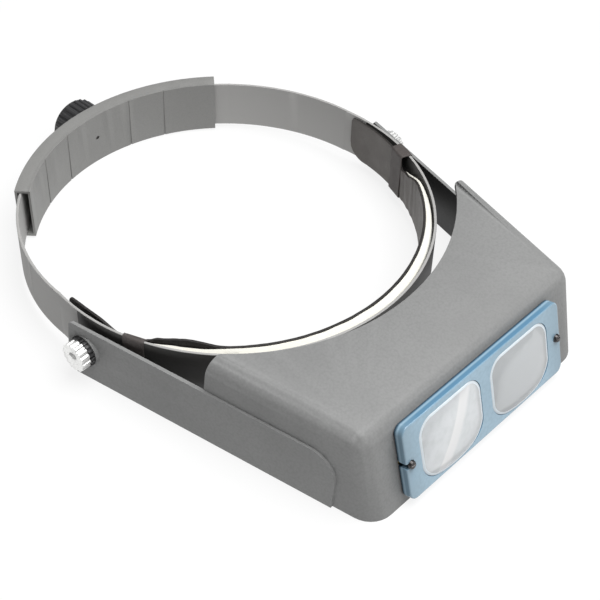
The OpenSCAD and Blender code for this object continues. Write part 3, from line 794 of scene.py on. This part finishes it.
def strip_material():
    """The ring's warm gray plastic, made once"""
    made = bpy.data.materials.get("strip_plastic")
    if made is None:
        made = plastic("strip_plastic", bpy.context.scene.band_looks.strip, 0.8, 1700.0, 0.12, 0.0001, 0.44)
    return made


class MAGNIFIER_OT_straps(bpy.types.Operator):
    """The strip's two ends with their toothed slots, sliced across in thin steps where each leaves the front
    half
    """
    bl_idname = "magnifier.straps"
    bl_label = "Strap ends"

    def execute(self, context):
        for side, sign in (("left", 1), ("right", -1)):
            piece = solid_copy("strap_" + side, 0)
            edit(piece)
            for step in range(1, 13):
                turn = FLEX_AT - math.radians(1.25 * step)
                spot = RING @ Vector((sign * FLEX_R * math.sin(turn), FLEX_R * math.cos(turn), 0))
                along = RING.to_3x3() @ Vector((sign * math.cos(turn), -math.sin(turn), 0))
                bpy.ops.mesh.select_all(action="SELECT")
                bpy.ops.mesh.bisect(plane_co=spot, plane_no=along)
            bpy.ops.object.mode_set(mode="OBJECT")
            round_edges(piece, 0.25 * MM, 2)
            apply_modifier(piece, "WEIGHTED_NORMAL", weight=60)
            dress(piece, "strap_end_" + side, strip_material(), None, "strip_plastic", "strap_" + side)
            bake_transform(piece)
        return {"FINISHED"}


def ease(value, low, high):
    """0 below low, 1 above high, smooth between; low may be the greater"""
    share = min(1.0, max(0.0, (value - low) / (high - low)))
    return share * share * (3 - 2 * share)


def hump(angle):
    """The leather's slack in front of the right loop"""
    return math.sin(math.pi * min(1.0, max(0.0, (246 - angle) / 22))) ** 2


def dip(angle):
    """How far the left loop pulls the band's top edge down in front of it, as a share"""
    return ease(angle, 108, 113) * ease(angle, 127, 114)


def wrinkle(angle, height, depth):
    """How far the leather stands off its circle: long creases near the loops, fewer at the right one,
    and small ones elsewhere"""
    at_left = ease(angle, 112, 114) * ease(angle, 131, 118)
    at_right = 0.25 * ease(angle, 230, 240) * ease(angle, 247, 244)
    near_loop = max(at_left, at_right)
    spot = Vector((angle * 0.16, height / MM * 0.045, 3.1))
    crease = noise.fractal(spot, 0.9, 2.1, 4)
    fold = math.sin(math.radians(angle) * 95 + height / MM * 0.10 + 2.5 * crease)
    near_loop *= 0.75 + 0.5 * height / PAD_H
    return depth * (0.5 * abs(crease) + near_loop * (1.1 * (1 + fold) + abs(crease)))


class MAGNIFIER_OT_comfort_foam(bpy.types.Operator):
    """Foam cushion between the leather and the strip, thin and low at its two ends"""
    bl_idname = "magnifier.comfort_foam"
    bl_label = "Foam cushion"

    def execute(self, context):
        looks = context.scene.band_looks
        outer = STRIP_MID - STRIP_T / 2 - FOAM_GAP

        def place(u, v):
            angle = FOAM_FROM + u * (FOAM_TO - FOAM_FROM)
            low = 1.7 * hump(angle) + 2.2 * ease(angle, 238, 246) + 6.8 * dip(angle) + 0.4 * bumps(angle)
            height = (v - 0.5) * PAD_H - low * v * v * MM
            return on_ring(angle, PAD_R - 0.9 * hump(angle) * v * MM, height, PAD_SHIFT)
        piece = grid("foam", 160, 12, place)
        edit(piece, "FACE")
        bpy.ops.mesh.extrude_region_move()
        bpy.ops.object.mode_set(mode="OBJECT")
        inverse = RING.inverted()
        for vertex in piece.data.vertices:
            if vertex.select:
                local = inverse @ vertex.co
                turn = math.atan2(local.x, local.y - STRIP_SHIFT)
                angle = math.degrees(math.atan2(local.x, local.y - PAD_SHIFT)) % 360
                full = ease(angle, 113, 135) * ease(angle, 247, 238)
                reach = math.hypot(local.x, local.y - STRIP_SHIFT)
                reach += 1 * MM + (outer - reach - 1 * MM) * full
                top = full * max(0.0, 2 * local.z / PAD_H) ** 3
                reach -= 0.9 * top * MM
                height = local.z - 1.2 * top * MM
                vertex.co = RING @ Vector((reach * math.sin(turn),
                                           STRIP_SHIFT + reach * math.cos(turn), height))
        outward(piece)
        round_edges(piece, 0.7 * MM, 4, 50)
        material = finish_material("cream_foam", foam_cells,
                                   {"Colour": rgba(looks.foam), "Aged": rgba((0.80, 0.76, 0.64)),
                                    "Cells": 1500.0}, 0.35, 0.0002,
                                   {"Roughness": 0.9, "Sheen Weight": 0.2})
        dress(piece, "foam_cushion", material, "headband", "cream_foam", "comfort_foam")
        return {"FINISHED"}


def bumps(angle):
    """Slow unevenness of the foam's edge"""
    return noise.noise(Vector((angle * 0.21, 0.7, 5.3)))


class MAGNIFIER_OT_comfort_leather(bpy.types.Operator):
    """Leather facing on the inside of the front half, with two free rounded ends"""
    bl_idname = "magnifier.comfort_leather"
    bl_label = "Leather facing"

    def execute(self, context):
        looks = context.scene.band_looks
        radius = PAD_R - LEATHER_T / 2 - 0.1 * MM
        high, low = 2 * MM, 9 * MM
        run = math.radians(LEATHER_TO - LEATHER_FROM) * radius

        def trim(along, corner):
            inset = max(0.0, corner - min(along, run - along)) / corner
            return corner * (1 - math.sqrt(max(0.0, 1 - inset * inset)))

        def place(u, v):
            along = u * run
            angle = LEATHER_FROM + (LEATHER_TO - LEATHER_FROM) * u
            pulled = LOOP_SAG * ease(angle, 243, 246) * ease(angle, 262, 254)
            top = PAD_H / 2 - trim(along, high) - (6.2 * dip(angle) - 1.5 * hump(angle)) * MM - pulled
            bottom = trim(along, low) - PAD_H / 2
            height = bottom + v * (top - bottom)
            off = wrinkle(angle, height, looks.wrinkle)
            tail = min(1.0, max(0.0, (angle - 254) / 18))
            off += (1.3 * hump(angle) * v + 1.0 * tail + 4.4 * tail * (1 - tail)) * MM
            off -= SQUEEZE * ease(angle, 245.5, 248) * (1 - tail)
            return on_ring(angle, radius - off, height, PAD_SHIFT)
        piece = grid("leather", 460, 18, place)
        apply_modifier(piece, "SOLIDIFY", thickness=LEATHER_T, offset=0)
        outward(piece)
        round_edges(piece, 0.3 * MM, 2, 50)
        material = finish_material("dark_leather", hide_grain,
                                   {"Colour": rgba(looks.leather), "Worn": rgba(looks.leather, 1.35),
                                    "Cells": 1000.0, "Wear": 0.6}, 0.5, 0.0002, {"Sheen Weight": 0.1})
        # The leather's cut edges are dark; its back is painted near-black as painted shade from the narrow
        # gap between it and the strip
        raw = finish_material("raw_leather", hide_grain,
                              {"Colour": rgba(looks.raw), "Worn": rgba(looks.raw, 2.5),
                               "Cells": 1400.0, "Wear": 0.4}, 0.5, 0.0002)
        dress(piece, "leather_facing", material, "headband", "dark_leather", "comfort_leather", angle=50)
        hub = RING @ Vector((0, PAD_SHIFT, 0))
        up = RING.to_3x3() @ Vector((0, 0, 1))

        def is_edge_or_shaded_back(face):
            inward = (hub - face.center).normalized()
            inward = (inward - up * inward.dot(up)).normalized()
            return face.normal.dot(inward) < 0.5
        second_finish(piece, raw, is_edge_or_shaded_back)
        return {"FINISHED"}


class MAGNIFIER_OT_leather_loops(bpy.types.Operator):
    """Two leather loops that hold leather, foam and strip together"""
    bl_idname = "magnifier.leather_loops"
    bl_label = "Leather loops"

    def execute(self, context):
        looks = context.scene.band_looks
        material = finish_material("brown_leather", hide_grain,
                                   {"Colour": rgba(looks.loop), "Worn": rgba(looks.loop, 1.5),
                                    "Cells": 900.0, "Wear": 0.5}, 0.55, 0.0002)
        for label, at, sag, squeeze in (("left", LOOP_ANGLES[0], 0, 0),
                                        ("right", LOOP_ANGLES[1], LOOP_SAG, SQUEEZE)):
            path = loop_path(at, sag, squeeze)
            piece = loop_piece(path, at)
            round_edges(piece, 0.2 * MM, 3, 50)
            dress(piece, "loop_" + label, material, "headband", "brown_leather", angle=50)
            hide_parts("leather_loops")
        return {"FINISHED"}


def reach_of_pad(angle, radius):
    """How far the pad's circle is from the strip's centre at this angle"""
    offset = (PAD_SHIFT - STRIP_SHIFT) * math.cos(math.radians(angle))
    return offset + math.sqrt(offset ** 2 - (PAD_SHIFT - STRIP_SHIFT) ** 2 + radius ** 2)


def loop_path(at, sag, squeeze):
    """Section of a loop round the band, as reach from the strip's centre and height, with rounded corners;
    its inner top corner is sag lower, and its inner side squeeze nearer to the strip"""
    gap = 0.1 * MM + LOOP_T / 2
    inner = reach_of_pad(at, PAD_R - LEATHER_T - 0.2 * MM) - gap + squeeze
    outer = STRIP_MID + STRIP_T / 2 + gap
    half_h = STRIP_H / 2 + gap
    corner = 0.9 * MM
    path = []
    for cr, cz, first in ((outer - corner, half_h - corner, 0), (inner + corner, half_h - corner - sag, 90),
                          (inner + corner, corner - half_h, 180), (outer - corner, corner - half_h, 270)):
        for step in range(7):
            turn = math.radians(first + 15 * step)
            path.append(Vector((cr + corner * math.cos(turn), cz + corner * math.sin(turn))))
        if first == 0:
            path.append(Vector((STRIP_MID - STRIP_T / 2, half_h)))
        if first == 90 or first == 270:
            reach = inner if first == 90 else outer
            start, end = path[-1].y, (corner - half_h if first == 90 else half_h - corner)
            for share in range(1, 12):
                path.append(Vector((reach, start + (end - start) * share / 12)))
    return path


def loop_piece(path, at):
    """The loop itself: the section swept over its width, slightly bulged"""
    count = len(path)
    shift = reach_of_pad(at, PAD_R)

    def place(u, v):
        reach, z = path[round(u * count) % count]
        angle = at + math.degrees((v - 0.5) * LOOP_W / STRIP_MID)
        uneven = 1 + 0.5 * noise.noise(Vector((z / MM * 0.2, v * 3, at)))
        bulge = 0.12 * MM * (1 - (2 * v - 1) ** 2) * uneven
        inside = min(1.0, max(0.0, (STRIP_MID - reach) / (2 * MM)))
        follow = inside * (reach_of_pad(angle, PAD_R) - shift)
        return on_ring(angle, reach + follow + bulge * (1 - 2 * inside), z, STRIP_SHIFT)
    piece = grid("loop", count, 10, place)
    outward(piece)
    apply_modifier(piece, "SOLIDIFY", thickness=LOOP_T, offset=0)
    return piece


# Size adjuster

class MAGNIFIER_OT_rear_sleeve(bpy.types.Operator):
    """Back sleeve and its liner with the fold lines"""
    bl_idname = "magnifier.rear_sleeve"
    bl_label = "Back sleeve"

    def execute(self, context):
        looks = context.scene.band_looks
        material = plastic("sleeve_plastic", looks.strip, 0.8, 1500.0, 0.15, 0.0001, 0.42)
        dress(solid_copy("rear_sleeve", 0.3 * MM, 3), "sleeve", material, "sleeve", "sleeve_plastic",
              "rear_sleeve")
        dress(solid_copy("sleeve_liner", 0.12 * MM), "liner", material, "sleeve", "sleeve_plastic",
              "sleeve_liner")
        return {"FINISHED"}


class MAGNIFIER_OT_adjuster(bpy.types.Operator):
    """Ribbed knob with its washer, pinion and screw"""
    bl_idname = "magnifier.adjuster"
    bl_label = "Adjuster"

    def execute(self, context):
        looks = context.scene.hardware_looks
        black = plastic("knob_plastic", looks.black, 1.8, 1600.0, 0.2, 0.0001, 0.36)
        steel = metal("adjuster_steel", looks.plating, 0.24)
        # Painted shade: the pinion takes the dark steel colour so that its stub in the liner's hole reads as
        # a dark hole
        dull = metal("pinion_steel", looks.dark_steel, 0.45)
        for node, name, body, material, slot, width in (
                ("adjust_knob", "knob_grip", "knob", black, "black_plastic", 0.3),
                ("knob_washer", "knob_washer_ring", "sleeve", steel, "plated_steel", 0.1),
                ("pinion", "pinion_gear", "knob", dull, "plated_steel", 0.1),
                ("knob_screw", "knob_screw_head", "knob", steel, "plated_steel", 0.15)):
            dress(solid_copy(node, width * MM), name, material, body, slot, node)
        return {"FINISHED"}


# Stage

class MAGNIFIER_OT_stage(bpy.types.Operator):
    """Camera at the photograph's angle, pale floor and soft studio light"""
    bl_idname = "magnifier.stage"
    bl_label = "Stage"

    def execute(self, context):
        looks = context.scene.stage_looks
        scene = context.scene
        lens = bpy.data.cameras.new("photo_camera")
        lens.lens = CAMERA_LENS
        lens.sensor_width = 36
        camera = bpy.data.objects.new("photo_camera", lens)
        scene.collection.objects.link(camera)
        turned = Matrix(CAMERA_AXES).transposed().to_4x4()
        camera.matrix_world = Matrix.Translation(CAMERA_AT) @ turned
        scene.camera = camera

        bpy.ops.object.select_all(action="DESELECT")
        bpy.ops.mesh.primitive_plane_add(size=8)
        floor = context.active_object
        floor.name = "floor"
        paint = plastic("floor_paint", looks.floor, 0.97, 40.0, 0.0, 0.0001, 0.85, 0.2)
        shader = paint.node_tree.nodes["Principled BSDF"]
        shader.inputs["Emission Color"].default_value = (1, 1, 1, 1)
        shader.inputs["Emission Strength"].default_value = looks.table
        shader.inputs["Specular IOR Level"].default_value = 0.1
        floor.data.materials.append(paint)

        world = bpy.data.worlds.new("studio")
        world.use_nodes = True
        back = world.node_tree.nodes["Background"]
        back.inputs[0].default_value = (1, 1, 1, 1)
        back.inputs[1].default_value = looks.fill
        scene.world = world
        scene.view_settings.view_transform = "Standard"

        for name, at, size, power in (("key", (0.15, -0.3, 1.28), 1.1, looks.key),
                                      ("back", (0.25, 1.1, 0.6), 0.6, 0.05 * looks.key)):
            light = bpy.data.lights.new(name, "AREA")
            light.size = size
            light.energy = power
            lamp = bpy.data.objects.new(name, light)
            scene.collection.objects.link(lamp)
            lamp.location = at
            lamp.rotation_euler = (-Vector(at)).to_track_quat("-Z", "Y").to_euler()
        return {"FINISHED"}


class MAGNIFIER_PT_panel(bpy.types.Panel):
    """Lists the steps that dress the magnifier"""
    bl_idname = "MAGNIFIER_PT_panel"
    bl_label = "Headband magnifier"
    bl_space_type = "VIEW_3D"
    bl_region_type = "UI"
    bl_category = "Magnifier"

    def draw(self, context):
        for step in STEPS:
            self.layout.operator(step.bl_idname)


GROUPS = {"visor_looks": VisorLooks, "lens_looks": LensLooks, "band_looks": BandLooks,
          "hardware_looks": HardwareLooks, "stage_looks": StageLooks}
STEPS = (MAGNIFIER_OT_stage, MAGNIFIER_OT_visor_shell, MAGNIFIER_OT_lens_plate, MAGNIFIER_OT_lenses,
         MAGNIFIER_OT_lens_hardware, MAGNIFIER_OT_pivots, MAGNIFIER_OT_front_strip, MAGNIFIER_OT_straps,
         MAGNIFIER_OT_comfort_foam, MAGNIFIER_OT_comfort_leather, MAGNIFIER_OT_leather_loops,
         MAGNIFIER_OT_rear_sleeve, MAGNIFIER_OT_adjuster)


def register():
    for group in (*GROUPS.values(), *STEPS, MAGNIFIER_PT_panel):
        bpy.utils.register_class(group)
    for name, group in GROUPS.items():
        setattr(bpy.types.Scene, name, PointerProperty(type=group))


def unregister():
    for name in GROUPS:
        delattr(bpy.types.Scene, name)
    for group in reversed((*GROUPS.values(), *STEPS, MAGNIFIER_PT_panel)):
        bpy.utils.unregister_class(group)


def main():
    register()
    for step in STEPS:
        section, label = step.bl_idname.split(".")
        getattr(getattr(bpy.ops, section), label)()


if __name__ == "__main__":
    main()
